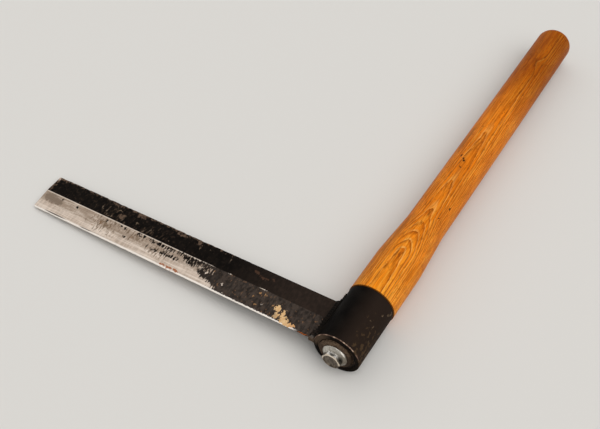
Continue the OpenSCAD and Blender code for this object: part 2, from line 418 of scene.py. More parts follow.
# Places on the blade that a mask runs between: where it is none and where it is whole
TORN_X = (-215.0, -150.0)
COVERED_X = (-145.0, -117.0)
FIRST_ROW_X = (-219.0, -207.0)
FIRST_ROW_Y = (17.4, 19.4)
BELOW_ROWS_Y = (13.5, 5.5)
HAZE_Y = (10.5, 14.0)
RIDGE_HIGHLIGHT_Y = (21.8, 22.5)
OLD_FLAT_X = (-120.0, -55.0)
OLD_BEVEL_X = (-158.0, -118.0)
MOTTLED_X = (-120.0, -190.0)
RUSTED_SPINE_X = (-110.0, -165.0)
FLAKED_TAIL_X = (-50.0, -42.0)

# The bright line along the blade's edge: where it ends, how high it reaches, how far that wanders
EDGE_LINE_X = (-37.0, -43.0)
EDGE_LINE_TOP = 3.5
EDGE_WOBBLE = 1.25


def on_face(*marks, z=3.0, deep=4.0):
    """Marks on the blade's upper face: places along and across it, and half sizes that way."""
    return [(x, y, z, (half_x, half_y, deep)) for x, y, half_x, half_y in marks]


# Rust, spots, scratches, chips and bright bits on the blade's upper face and its edge
DULL_RUST = on_face(
    (-97.0, 35.6, 5.0, 2.6),
    (-88.0, 32.6, 5.5, 3.2),
    (-79.5, 34.8, 4.0, 3.0),
)
DARK_SPOTS = on_face(
    (-303.8, 19.8, 0.9, 1.6),
    (-285.5, 18.8, 1.2, 1.5),
    (-249.2, 19.7, 0.9, 1.6),
    (-228.8, 20.6, 1.4, 1.8),
    (-233.0, 20.8, 1.0, 0.9),
    (-223.8, 12.7, 1.5, 1.3),
    (-210.5, 20.3, 1.6, 1.2),
    (-182.5, 14.2, 0.8, 2.6),
    (-176.5, 13.6, 0.9, 2.6),
)
BROWN_SPOTS = on_face(
    (-264.2, 20.2, 1.0, 1.3),
    (-253.4, 16.0, 1.7, 2.6),
    (-259.3, 9.8, 2.4, 1.0),
    (-312.6, 12.7, 1.6, 0.7),
    (-217.0, 15.0, 1.6, 1.6),
)
GREY_CLOUD = on_face(
    (-314.5, 17.4, 11.0, 6.0),
    (-306.0, 15.6, 6.0, 3.6),
    deep=6.0,
)
LIGHT_SCRATCHES = on_face(
    (-263.8, 31.0, 0.6, 3.0),
    (-257.6, 29.3, 0.7, 2.6),
    (-258.4, 34.3, 0.7, 1.5),
    (-255.0, 25.6, 0.6, 2.4),
    (-252.4, 24.9, 0.5, 1.7),
    (-249.8, 25.2, 0.6, 2.0),
    (-237.6, 28.5, 0.7, 4.0),
    (-233.8, 24.8, 1.0, 1.6),
    (-207.0, 27.7, 0.8, 4.4),
    (-213.0, 25.0, 1.3, 1.3),
    (-123.7, 35.2, 0.5, 2.8),
    (-185.0, 27.2, 0.9, 0.9),
)
TAN_CHIPS = on_face(
    (-250.5, 36.8, 2.2, 0.8),
    (-246.3, 35.2, 1.9, 0.9),
    (-223.4, 30.2, 1.7, 1.4),
    (-233.8, 40.6, 1.7, 0.6),
    (-155.8, 33.5, 1.1, 1.6),
    (-146.0, 36.4, 0.9, 0.9),
)
SPINE_RUST = on_face(
    (-318.5, 41.0, 6.5, 2.8),
    (-276.0, 41.6, 14.0, 1.8),
    (-252.0, 40.4, 12.0, 3.0),
    (-240.5, 30.0, 3.2, 4.6),
    (-224.5, 39.5, 7.0, 5.0),
    (-192.0, 41.2, 12.0, 1.7),
    (-177.5, 39.0, 9.0, 3.4),
    (-158.5, 38.0, 4.5, 3.6),
    (-288.0, 24.0, 2.6, 2.2),
)
BRIGHT_BITS = on_face(
    (-141.8, 17.2, 0.6, 3.6),
    (-134.6, 15.2, 1.0, 1.8),
    (-115.8, 11.8, 0.8, 1.6),
    (-111.2, 4.2, 1.5, 1.3),
    (-76.3, 10.2, 0.8, 0.8),
)
RIDGE_BITS = on_face(
    (-116.2, 23.0, 2.6, 0.5),
    (-82.0, 23.0, 5.6, 0.45),
    (-138.0, 22.9, 9.0, 0.3),
)
TAN_BITS = on_face(
    (-83.0, 18.9, 1.0, 1.2),
    (-77.5, 19.3, 1.0, 1.9),
    (-81.3, 7.2, 1.8, 1.3),
    (-129.6, 19.3, 0.8, 0.9),
    (-67.0, 14.3, 0.7, 1.8),
    (-86.7, 13.5, 0.9, 1.7),
)
FLAKED_PATCH = on_face(
    (-61.2, 12.8, 4.0, 3.6),
    (-60.0, 6.8, 2.8, 4.6),
    (-55.6, 9.8, 2.0, 5.2),
    (-52.0, 5.6, 6.0, 4.6),
    (-46.5, 4.0, 7.0, 3.2),
    deep=5.0,
)
PATCH_END = on_face((-60.5, 6.2, 2.6, 3.6), deep=5.0)
TIP_CORNER = on_face((-326.0, 39.4, 1.9, 2.6))
EDGE_RUST = on_face(
    (-174.5, 4.6, 4.0, 1.2),
    (-167.0, 4.2, 5.0, 1.5),
    (-160.0, 4.6, 4.5, 1.3),
    (-33.0, 2.8, 7.0, 0.9),
    z=1.0,
)
EDGE_SHADE = on_face(
    (-299.0, 3.8, 15.0, 0.75),
    (-262.0, 3.7, 9.0, 0.5),
    z=1.0,
)

# Where a second row of scale hangs, where bare slits run through it, where brown streaks gather,
# and where tools scratched the flat
SECOND_ROW = on_face(
    (-191.0, 12.6, 14.0, 3.6),
    (-174.0, 14.0, 16.0, 4.4),
    (-152.0, 17.4, 13.0, 4.6),
    (-139.0, 12.5, 8.0, 9.0),
    deep=8.0,
)
SLIT_ZONES = on_face(
    (-166.0, 18.6, 24.0, 6.0),
    (-148.0, 13.0, 12.0, 9.0),
    (-136.0, 18.0, 12.0, 5.0),
    deep=8.0,
)
BROWN_ZONES = on_face(
    (-247.0, 14.5, 26.0, 11.0),
    (-215.0, 17.0, 24.0, 8.0),
    (-185.0, 13.0, 20.0, 7.0),
    deep=8.0,
)
SCRATCHED = on_face(
    (-250.0, 29.0, 30.0, 14.0),
    (-205.0, 28.0, 26.0, 12.0),
    deep=8.0,
)


def bare_of_scale(tree, place, ragged, streaks, bevel):
    """Where steel shows on the bevel, and the bright bits alone. The scale ends in two rows of torn
    streaks, then covers all but slits, chips and a line along the edge."""
    x, y, _ = axes(tree, place)
    spread = combine(
        tree,
        streaks,
        add(tree, "MapRange", (x, *TORN_X, -0.14, -0.05)),
        add(tree, "MapRange", (x, *COVERED_X, 0.0, 0.9)),
        add(tree, "MapRange", (y, *BELOW_ROWS_Y, 0.0, -0.6)),
        by="ADD",
    )
    first_row = zone(tree, (y, *FIRST_ROW_Y), (y, 22.6, 21.6, 0.3, 1.0), (x, *FIRST_ROW_X))
    second_row = spots(tree, place, SECOND_ROW, soft=0.8)
    for row, weight in ((first_row, 0.2), (second_row, 0.24)):
        spread = add(tree, "Math", (row, weight, spread), operation="MULTIPLY_ADD")
    covered = zone(tree, (spread, 0.55, 0.6))
    covered = combine(tree, covered, spots(tree, ragged, DARK_SPOTS, soft=0.2), by="MAXIMUM")
    thin = patches(tree, place, (1.4, 4.2, 6.0), 0.0, 1.0, detail=3, seed=45)
    slits = crumbled(tree, spots(tree, ragged, SLIT_ZONES, soft=0.8), 0.16, thin, 0.64)
    covered = combine(tree, covered, inverse(tree, slits), by="MINIMUM")

    wobble = add(tree, "MapRange", (streaks, 0.0, 1.0, EDGE_WOBBLE, -EDGE_WOBBLE))
    line_y = combine(tree, y, wobble, by="ADD")
    edge_line = zone(tree, (line_y, EDGE_LINE_TOP + 0.3, EDGE_LINE_TOP - 0.1), (x, *EDGE_LINE_X))
    bits = combine(
        tree,
        spots(tree, ragged, BRIGHT_BITS, soft=0.4),
        spots(tree, place, RIDGE_BITS, soft=0.6),
        by="MAXIMUM",
    )
    bright_bits = combine(tree, bits, zone(tree, (streaks, 0.4, 0.5)))
    bare = combine(tree, inverse(tree, covered), bevel)
    return combine(tree, bare, bright_bits, edge_line, by="MAXIMUM"), bright_bits


def ground_steel(tree, place, ragged, streaks, bevel, bright_bits, marks_across):
    """Ground steel: marks across and along the bevel, brown ticks, a grey haze higher up, and a painted
    highlight along the ridge.
    """
    y = axes(tree, place)["Y"]
    rough_y = axes(tree, ragged)["Y"]
    marks_along = patches(tree, place, (30.0, 1.3, 8.0), 0.44, 0.58, detail=3, seed=3)
    haze = patches(tree, place, (14.0, 3.0, 5.0), 0.22, 0.5, seed=21)
    haze = combine(tree, haze, zone(tree, (rough_y, *HAZE_Y)))
    cloud = spots(tree, ragged, GREY_CLOUD)
    brown_zone = spots(tree, place, BROWN_ZONES, soft=1.0)
    dark_ticks = patches(tree, place, (1.5, 3.4, 8.0), 0.6, 0.67, detail=2, seed=57)
    bright_ticks = patches(tree, place, (1.5, 4.0, 8.0), 0.58, 0.66, detail=2, seed=91)
    # Painted highlight: a pale line along the bevel's worn ridge
    ridge_highlight = combine(tree, bevel, zone(tree, (y, *RIDGE_HIGHLIGHT_Y)))
    return layers(
        tree, "#c3b2a3",
        (marks_across, 0.42, "#8b7c6f"),
        (marks_along, 0.5, "#e6d9cc"),
        (combine(tree, dark_ticks, brown_zone), 0.7, "#56473a"),
        (combine(tree, bright_ticks, brown_zone), 0.7, "#f6ece2"),
        (haze, 0.7, "#84715f"),
        (cloud, 0.7, "#6f6052"),
        (crumbled(tree, brown_zone, 0.2, streaks, 0.62), 0.7, "#65523f"),
        (spots(tree, ragged, BROWN_SPOTS, soft=0.6), 0.65, "#7a5b40"),
        (ridge_highlight, 0.6, "#e0d4c7"),
        (zone(tree, (y, HONED_Y - 0.35, HONED_Y - 0.75)), 0.9, "#f0e9e1"),
        (spots(tree, place, EDGE_SHADE, soft=0.4), 0.8, "#2e241d"),
        (bright_bits, 0.8, "#e2d3c4"),
    )


def black_scale(tree, place, streaks, bevel, mottle):
    """Forge scale: near black on the flat, browner towards the socket, grey and freckled on the
    bevel."""
    x = axes(tree, place)["X"]
    old = zone(tree, (x, *OLD_FLAT_X))
    old_bevel = combine(tree, zone(tree, (x, *OLD_BEVEL_X)), bevel)
    freckles = patches(tree, place, (1.8, 2.6, 3.0), 0.62, 0.69, seed=5)
    dust = patches(tree, place, (6.0, 8.0, 6.0), 0.45, 0.65, seed=27)
    flat_mottle = combine(
        tree,
        inverse(tree, bevel),
        patches(tree, place, (1.8, 2.6, 4.0), 0.55, 0.66, detail=3, seed=37),
        add(tree, "MapRange", (x, *MOTTLED_X, 0.3, 1.0)),
    )
    dark_streaks = combine(tree, old_bevel, zone(tree, (streaks, 0.4, 0.6)))
    return layers(
        tree, "#0d0a08",
        (flat_mottle, 0.28, "#4a3b30"),
        (old, 0.85, "#2b231e"),
        (combine(tree, old, mottle), 0.35, "#3d3029"),
        (old_bevel, 0.9, "#39332f"),
        (dust, 0.35, "#231c17"),
        (dark_streaks, 0.55, "#1c1612"),
        (combine(tree, mottle, old_bevel), 0.45, "#574b43"),
        (combine(tree, freckles, old_bevel), 0.55, "#886345"),
    )


def chipped_scale(tree, ground, place, ragged, streaks, crumbs, above_bevel):
    """Chips and scratches through the scale of the flat, and brown rust along the spine and tip."""
    x = axes(tree, place)["X"]
    rough_x, rough_y, _ = axes(tree, ragged)
    fine = zone(tree, (crumbs, 0.44, 0.58))
    spine_line = zone(tree, (rough_y, SPINE_Y - 2.4, SPINE_Y - 0.3), (x, *RUSTED_SPINE_X))
    tip = zone(tree, (rough_x, -BLADE_REACH + 4.6, -BLADE_REACH + 2.0))
    rust = spots(tree, ragged, SPINE_RUST, soft=0.8)
    rust = crumbled(tree, combine(tree, rust, spine_line, tip, by="MAXIMUM"), 0.3, crumbs, 0.62)
    fringe = combine(tree, rust, above_bevel)
    scratched = combine(tree, spots(tree, place, SCRATCHED, soft=1.0), above_bevel)
    dull_rust = crumbled(tree, spots(tree, ragged, DULL_RUST, soft=0.8), 0.25, crumbs, 0.66)
    chips = combine(tree, spots(tree, ragged, TAN_CHIPS, soft=0.8), fine)
    return layers(
        tree, ground,
        (fringe, 0.58, "#3f322b"),
        (combine(tree, fringe, fine), 0.5, "#796352"),
        (crumbled(tree, scratched, 0.16, streaks, 0.68), 0.5, "#5c4b3d"),
        (dull_rust, 0.55, "#5a4031"),
        (spots(tree, ragged, LIGHT_SCRATCHES, soft=0.8), 0.6, "#8d7a68"),
        (chips, 0.8, "#9c866f"),
        (spots(tree, ragged, TIP_CORNER, soft=0.6), 0.85, "#cbb4a4"),
        (spots(tree, ragged, TAN_BITS, soft=0.7), 0.8, "#b98b5c"),
    )


def forged_blade():
    """Forged carbon steel: matt black scale on the flat, a ground bevel with marks across it that
    the scale covers towards the socket, freckles of rust, and a bright line along the edge."""
    material, tree, place = new_material("forged_blade")
    x, y, _ = axes(tree, place)
    ragged = torn(tree, place, 2.2, 3.0)
    streaks = patches(tree, place, (1.4, 4.6, 6.0), 0.0, 1.0)
    crumbs = patches(tree, place, (2.0, 2.4, 4.0), 0.0, 1.0, seed=9)
    mottle = patches(tree, place, (2.6, 4.6, 4.0), 0.4, 0.62)

    # The grinding marks are drawn 1.5 mm apart, coarser than the real ones, so that they show
    marks_across = patches(tree, place, (1.5, 16.0, 8.0), 0.42, 0.6, detail=3)
    bevel = zone(tree, (y, BEVEL_Y - 0.15, BEVEL_Y - 0.45))
    bare, bright_bits = bare_of_scale(tree, place, ragged, streaks, bevel)
    steel = ground_steel(tree, place, ragged, streaks, bevel, bright_bits, marks_across)
    scale = black_scale(tree, place, streaks, bevel, mottle)
    colour = add(tree, "Mix", (bare, scale, steel), data_type="RGBA")
    colour = chipped_scale(tree, colour, place, ragged, streaks, crumbs, inverse(tree, bevel))

    # Near the socket a patch is flaked down to tan metal, and rust has taken parts of the edge
    flaked = crumbled(tree, spots(tree, ragged, FLAKED_PATCH, soft=0.5), 0.6, streaks, 0.68)
    patch_shade = patches(tree, place, (1.2, 3.4, 3.0), 0.4, 0.6, detail=3, seed=33)
    tan = layers(
        tree, "#d3a976",
        (patch_shade, 0.5, "#efd2a6"),
        (spots(tree, ragged, PATCH_END, soft=0.6), 0.7, "#8a745c"),
        (zone(tree, (x, *FLAKED_TAIL_X)), 0.6, "#c1824b"),
    )
    colour = add(tree, "Mix", (flaked, colour, tan), data_type="RGBA")
    edge_rust = crumbled(tree, spots(tree, ragged, EDGE_RUST, soft=0.6), 0.5, crumbs, 0.66)
    colour = layers(tree, colour, (edge_rust, 0.85, "#9c5424"))

    dulled = combine(tree, edge_rust, flaked, by="MAXIMUM")
    metal = combine(tree, bare, inverse(tree, dulled))
    matt = add(tree, "MapRange", (metal, 0.0, 1.0, 0.65, 0.4))
    relief = add(tree, "Math", (marks_across, 0.4, mottle), operation="MULTIPLY_ADD")
    finish_surface(
        tree, relief, 0.1,
        Base_Color=colour, Metallic=metal, Roughness=matt, Specular_IOR_Level=0.03,
    )
    return material


END_BLOB = ((-23.6, 3.0, 3.4, (2.2, 2.6, 3.0)),)


def weld_metal():
    """Arc weld left as it cooled and painted over: black ripples, brown in the hollows."""
    material, tree, place = new_material("weld_metal")
    x, y, _ = axes(tree, place)
    brown = patches(tree, place, (3.0, 3.0, 3.0), 0.46, 0.66)
    grey = patches(tree, place, (1.6, 4.0, 2.0), 0.57, 0.7, seed=12)
    end_blob = spots(tree, torn(tree, place, 2.0, 2.0), END_BLOB, soft=0.6)
    grain = patches(tree, place, (1.0, 1.0, 1.0), 0.3, 0.7)
    low_end = combine(tree, zone(tree, (y, 12.0, 3.0)), brown)
    ring_left = zone(tree, (x, -3.0, -11.0), (y, 3.0, 1.5))
    colour = layers(
        tree, "#0c0907",
        (grain, 0.3, "#1a1512"),
        (brown, 0.4, "#251c15"),
        (grey, 0.4, "#37302a"),
        (low_end, 0.6, "#463830"),
        (ring_left, 0.75, "#5c4b3c"),
        (combine(tree, end_blob, grain), 0.9, "#857c74"),
    )
    finish_surface(tree, grain, 0.12, Base_Color=colour, Roughness=0.6, Specular_IOR_Level=0.04)
    return material


# Larger chips in the socket's paint, on the side turned to the right
CRUMBS = (
    (18.6, 17.0, 8.0, (1.0, 1.0, 1.0)),
    (19.9, 51.0, 3.6, (1.4, 2.4, 1.8)),
    (19.3, 47.0, 6.0, (1.0, 1.6, 1.2)),
    (17.3, 42.0, 10.5, (1.0, 1.0, 1.0)),
    (16.4, 28.0, 11.8, (0.9, 1.6, 1.0)),
    (13.2, 30.0, 15.4, (1.2, 0.8, 1.2)),
)


def worn_black_paint():
    """Satin black paint on drawn steel tube: browner towards the low side, where small chips show rust,
    dust and painted light on the right, and rubbed to bare metal along the outer corner of the lower rim,
    with a painted highlight along its top."""
    material, tree, place = new_material("worn_black_paint")
    x, y, z = axes(tree, place)
    out = from_line(tree, place)
    smudge = patches(tree, place, (9.0, 14.0, 9.0), 0.4, 0.64)
    # Browner and lighter towards the right, where the key light falls: dust, and painted light
    dust_and_lit_side = zone(tree, (x, -5.0, 10.0))
    low = zone(tree, (x, 7.0, 17.0), (y, 40.0, 12.0))
    flecks = patches(tree, place, (2.6, 3.6, 2.6), 0.0, 1.0, detail=6, seed=4)
    chips = crumbled(tree, low, 0.16, flecks, 0.66)
    broad = combine(tree, low, patches(tree, place, (4.0, 6.0, 4.0), 0.4, 0.62, seed=14))
    crumbs = spots(tree, torn(tree, place, 1.6, 2.2), CRUMBS, soft=0.9)
    crumbs = combine(tree, crumbs, zone(tree, (flecks, 0.35, 0.55)))
    rim_face = zone(tree, (y, 0.5, 0.2), (out, SOCKET_R - 0.55, SOCKET_R - 0.85))
    rim_dust = combine(tree, rim_face, zone(tree, (x, -4.0, -12.0), (z, -2.0, 4.0)))
    # The outer corner is rubbed to bare metal only along the top, where the light falls, and its pale
    # bits there are a painted highlight
    corner = zone(tree, (y, 0.75, 0.45), (out, SOCKET_R - 0.65, SOCKET_R - 0.45), (z, 3.0, 7.0))
    rubbed = combine(tree, corner, patches(tree, place, (4.0, 4.0, 4.0), 0.38, 0.5, seed=6))
    rubbed_highlight = combine(tree, rubbed, patches(tree, place, (3.2, 2.0, 3.2), 0.56, 0.62, seed=16))
    fine = patches(tree, place, (0.9, 1.2, 0.9), 0.35, 0.65, seed=1)
    colour = layers(
        tree, "#090706",
        (smudge, 0.5, "#1a1613"),
        (dust_and_lit_side, 0.75, "#2d231d"),
        (broad, 0.5, "#33271d"),
        (chips, 0.5, "#57442f"),
        (crumbs, 0.7, "#8b765e"),
        (combine(tree, rim_face, dust_and_lit_side), 0.85, "#0b0806"),
        (rim_dust, 0.7, "#5c4b3c"),
        (rubbed, 0.8, "#7d6355"),
        (rubbed_highlight, 0.8, "#c3a892"),
    )
    dull = add(tree, "MapRange", (dust_and_lit_side, 0.0, 1.0, 0.5, 0.6))
    finish_surface(tree, fine, 0.04, Base_Color=colour, Roughness=dull, Specular_IOR_Level=0.02)
    return material


def rusted_washer():
    """Plain steel washer gone brown: thin even rust, tan where it rubbed, darker in the pits, with
    painted shade on its lower right.
    """
    material, tree, place = new_material("rusted_washer")
    x, _, z = axes(tree, place)
    rust = patches(tree, place, (3.5, 3.5, 3.5), 0.42, 0.62)
    pitted = patches(tree, place, (1.2, 1.2, 1.2), 0.54, 0.68, seed=5)
    # Painted shade: the lower right of the washer is darker, the side that lies in shadow
    shaded_low_right = zone(tree, (x, 4.0, 12.0), (z, 7.0, 2.0))
    rubbed = patches(tree, place, (2, 2, 2), 0.42, 0.6, seed=9)
    rubbed = combine(tree, rubbed, zone(tree, (z, 2.0, 9.0)))
    colour = layers(
        tree, "#43352a",
        (rust, 0.7, "#58473a"),
        (rubbed, 0.6, "#7d6853"),
        (shaded_low_right, 0.6, "#2a2018"),
        (pitted, 0.6, "#261d16"),
    )
    relief = inverse(tree, pitted)
    finish_surface(tree, relief, 0.1, Base_Color=colour, Roughness=0.65, Specular_IOR_Level=0.06)
    return material


# The hexagon's end is pressed in a little; dirt sits in that cup, with painted shade in its top, and two
# of its sides have darker patches
CUP_R = 6.5
CUP_DEPTH = 0.5
CUP_SHADE = ((1.0, HEAD_Y, 6.0, (6.5, 2.0, 1.5)),)
SIDE_DARK_PATCHES = (
    (0.6, FLANGE_Y - 4.2, 7.1, (2.9, 1.5, 1.6)),
    (6.9, FLANGE_Y - 3.4, 2.0, (2.2, 3.4, 4.4)),
)
# Painted highlight: a bright arc on the flange's upper right slope
FLANGE_HIGHLIGHT = ((7.4, FLANGE_Y, 6.8, (3.4, 3.0, 3.4)),)


def zinc_plate():
    """Dull zinc plating on a cold-headed screw: pale grey on the flange, bright metal where wear has
    bared the hexagon's edges, brown dirt on its end, darker patches on two sides, and painted light: a
    near white upper side, a bright arc on the flange and lit upper edges."""
    material, tree, place = new_material("dull_zinc_plating")
    x, y, z = axes(tree, place)
    out = from_line(tree, place)
    dull = patches(tree, place, (2.2, 2.2, 2.2), 0.4, 0.62)
    grime_and_shade = patches(tree, place, (1.3, 1.3, 1.3), 0.52, 0.66, seed=3)
    on_hexagon = zone(tree, (y, FLANGE_Y - 1.9, FLANGE_Y - 2.3))
    cup = combine(tree, on_hexagon, zone(tree, (out, CUP_R + 0.1, CUP_R - 0.1)))
    end_face = combine(tree, cup, zone(tree, (y, HEAD_Y + 1.0, HEAD_Y + 0.7)), by="MAXIMUM")

    # The streaks on the end are drawn coarser than real ones, so that they show
    brushed = patches(tree, place, (1.1, 3.0, 4.0), 0.44, 0.58, detail=2, seed=31)
    cup_shade = combine(tree, cup, spots(tree, place, CUP_SHADE, soft=0.5))
    # The cup's rim is worn bright, kept to the upper edges where the light falls: wear with a painted
    # highlight
    edge_wear_and_highlight = zone(
        tree,
        (y, HEAD_Y + 0.9, HEAD_Y + 0.6),
        (out, CUP_R - 0.05, CUP_R + 0.1),
        (z, -1.5, 0.5),
    )
    # Painted light: the hexagon's upper side is painted near white, as lit from above
    lit_top_side = combine(tree, on_hexagon, zone(tree, (z, 5.2, 6.0)))
    side_dark_patches = spots(tree, place, SIDE_DARK_PATCHES, soft=0.5)
    # Painted highlight on the flange's outer slope
    arc = spots(tree, place, FLANGE_HIGHLIGHT, soft=0.6)
    arc = combine(tree, arc, zone(tree, (out, FLANGE_R - 1.0, FLANGE_R - 0.8)))
    right_side = zone(tree, (x, 3.0, 7.0), (z, 9.0, 5.0))
    low_flange = zone(tree, (x, 2.0, 8.0), (z, 5.0, 1.0), (dull, 0.0, 1.0, 0.5, 1.0))
    colour = layers(
        tree, "#c6c2ba",
        (dull, 0.45, "#969082"),
        (right_side, 0.55, "#6d6355"),
        (low_flange, 0.7, "#776c5f"),
        (lit_top_side, 0.8, "#f0ede7"),
        (side_dark_patches, 0.9, "#4c4b45"),
        (end_face, 0.92, "#685c4e"),
        (combine(tree, end_face, brushed), 0.7, "#3b3127"),
        (grime_and_shade, 0.35, "#4d4336"),
        (cup_shade, 0.8, "#2b231b"),
        (arc, 0.9, "#fbf6ee"),
        (edge_wear_and_highlight, 0.85, "#efe2d0"),
    )
    rough = add(tree, "MapRange", (dull, 0.0, 1.0, 0.25, 0.42))
    finish_surface(
        tree, inverse(tree, grime_and_shade), 0.06,
        Base_Color=colour, Metallic=1.0, Roughness=rough,
    )
    return material


def rounded(a, b, c, radius, steps=6):
    """Points of the arc that rounds corner b of the outline a, b, c."""
    a, b, c = Vector(a), Vector(b), Vector(c)
    to_a, to_c = (a - b).normalized(), (c - b).normalized()
    half = to_a.angle(to_c) / 2
    centre = b + (to_a + to_c).normalized() * radius / math.sin(half)
    start = b + to_a * radius / math.tan(half) - centre
    end = b + to_c * radius / math.tan(half) - centre
    return [centre + start.lerp(end, k / steps).normalized() * radius for k in range(steps + 1)]


def stepped(outline, longest):
    """The same outline with points added, so that no step is longer than that."""
    points = [Vector(outline[0])]
    for end in map(Vector, outline[1:]):
        start = points[-1]
        count = max(1, math.ceil((end - start).length / longest))
        points += [start.lerp(end, k / count) for k in range(1, count + 1)]
    return points


def turned(outline, closed=True, steps=TURNED_STEPS):
    """Spins an outline of radius and height about the handle's axis."""
    bm = bmesh.new()
    points = [bm.verts.new((r, h, 0.0)) for r, h in outline]
    pairs = list(zip(points, points[1:])) + ([(points[-1], points[0])] if closed else [])
    edges = [bm.edges.new(pair) for pair in pairs]
    bmesh.ops.spin(
        bm, geom=points + edges, cent=(0, 0, 0), axis=(0, 1, 0),
        angle=math.tau, steps=steps, use_merge=True,
    )
    bmesh.ops.remove_doubles(bm, verts=bm.verts, dist=0.001)
    bmesh.ops.recalc_face_normals(bm, faces=bm.faces)
    return bm


def put(name, data):
    """Adds an object of that name and data to the scene."""
    made = bpy.data.objects.new(name, data)
    bpy.context.scene.collection.objects.link(made)
    return made


def meshed(bm, name):
    """Turns what was built into a mesh of that name."""
    mesh = bpy.data.meshes.new(name)
    bm.to_mesh(mesh)
    bm.free()
    return mesh


def lay(bm, name, slot, material, *nodes):
    """Lays a finished millimetre mesh down as a piece that stands for those nodes."""
    bm.verts.sort(key=lambda v: v.co.dot(ORDER_ALONG))
    bm.faces.sort(key=lambda f: f.calc_center_median().dot(ORDER_ALONG))
    bmesh.ops.transform(bm, matrix=LAID, verts=bm.verts)
    mesh = meshed(bm, name)
    mesh.shade_smooth()
    mesh.set_sharp_from_angle(angle=SMOOTH_ANGLE)
    mesh.materials.append(material)
    piece = put(name, mesh)
    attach(piece, "root")
    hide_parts(*nodes)
    return piece


def make_handle():
    """Tenon, swell, taper and grip, with the screw's hole and a trace of unevenness by hand."""
    tenon_r = BORE_R - TENON_GAP
    hole_r = SCREW_R + THREAD_GAP
    hole_end = SCREW_TIP_Y + THREAD_GAP
    shoulder = (SWELL_R, SOCKET_H)
    swell_top = (SWELL_R, SOCKET_H + SWELL_L)
    grip_start = (GRIP_R, SOCKET_H + SWELL_L + TAPER_L)
    end_corner = (GRIP_R, HANDLE_TOP - END_DOME)
    end_middle = (0.0, HANDLE_TOP)
    outline = [
        (0.0, hole_end),
        (hole_r, hole_end),
        (hole_r, TENON_Y),
        *rounded((0, TENON_Y), (tenon_r, TENON_Y), (tenon_r, SOCKET_H), SHOULDER_ROUND),
        (tenon_r, SOCKET_H),
        *rounded((tenon_r, SOCKET_H), shoulder, swell_top, SHOULDER_ROUND),
        *rounded(shoulder, swell_top, grip_start, TAPER_BLEND),
        *rounded(swell_top, grip_start, end_corner, TAPER_BLEND),
        *rounded(grip_start, end_corner, end_middle, END_ROUND, 12),
        end_middle,
    ]
    bm = turned(stepped(outline, 3.0), closed=False)
    for v in bm.verts:
        out = math.hypot(v.co.x, v.co.z)
        if v.co.y > SOCKET_H + 2 and out > GRIP_R / 2:
            hollow = 0.5 + 0.5 * noise.noise(v.co * Vector((0.05, 0.02, 0.05)))
            shrink = 1 - HANDLE_UNEVEN * hollow / out
            v.co.x *= shrink
            v.co.z *= shrink
    return lay(bm, "handle_wood", "varnished_ash", varnished_ash(), "handle")


def blade_half_thickness(y):
    """Half of the blade's thickness at height y: full at the flat, then the bevel and the honed edge."""
    if y >= BEVEL_Y:
        return HALF_T
    if y >= HONED_Y:
        share = (y - HONED_Y) / (BEVEL_Y - HONED_Y)
        return HONED_T / 2 + share * (HALF_T - HONED_T / 2)
    share = (y - EDGE_Y) / HONED_W
    return EDGE_T / 2 + share * (HONED_T - EDGE_T) / 2


def wear_and_fit_blade(bm):
    """Batters the spine, nicks the edge, leaves the grinding uneven, and fits the root to the tube."""
    for v in bm.verts:
        x, y, z = v.co
        # Mallet blows have beaten small hollows into the spine's corners, but not near the socket
        blow = noise.noise(Vector((x / 9, z, 3.0))) + 0.5 * noise.noise(Vector((x / 3.5, z, 8.0)))
        if y > SPINE_Y - BEATEN_W and x < WELD_FOOT_X:
            struck = min(1.0, max(BEATEN_LEAST, (BEATEN_START - x) / BEATEN_RUN))
            beaten = struck * max(0.0, blow) * (y - SPINE_Y + BEATEN_W) / BEATEN_W
            v.co.y -= BEATEN_DEPTH * beaten
            v.co.z -= math.copysign(BEATEN_SIDE * beaten, z)
        # Nicks and a slight waviness along the cutting edge
        if y < HONED_Y:
            nick = NICK_DEPTH * max(0.0, noise.noise(Vector((x / 2.2, 5.0, 1.0))) - 0.25)
            wavy = EDGE_WAVE * abs(noise.noise(Vector((x / 12, 0, 2.0))))
            v.co.y += (nick + wavy) * (HONED_Y - y) / HONED_W
        # Hand grinding leaves the bevel a little uneven, and scale roughens the flat
        if EDGE_Y + 0.5 < y < SPINE_Y - 1:
            dip = GROUND_DIP * (0.5 + 0.5 * noise.noise(Vector((x / 14, y / 7, z))))
            v.co.z -= math.copysign(dip, z)
        # The spine slopes down under its weld, and the root follows the tube
        if y > BEVEL_Y and x > WELD_FOOT_X:
            share = (x - WELD_FOOT_X) / SPINE_WELD_R
            v.co.y -= SPINE_PREP * share * (y - BEVEL_Y) / SPINE_FLAT_W
        if x > ROOT_X - 0.1:
            v.co.x = -math.sqrt(SOCKET_R ** 2 - z * z)


def break_edges(bm, edges, width, steps):
    """Rounds those edges off, as wear does."""
    bmesh.ops.bevel(
        bm, geom=edges, offset=width, offset_type="OFFSET", segments=steps,
        profile=0.5, affect="EDGES", material=-1, clamp_overlap=True,
    )


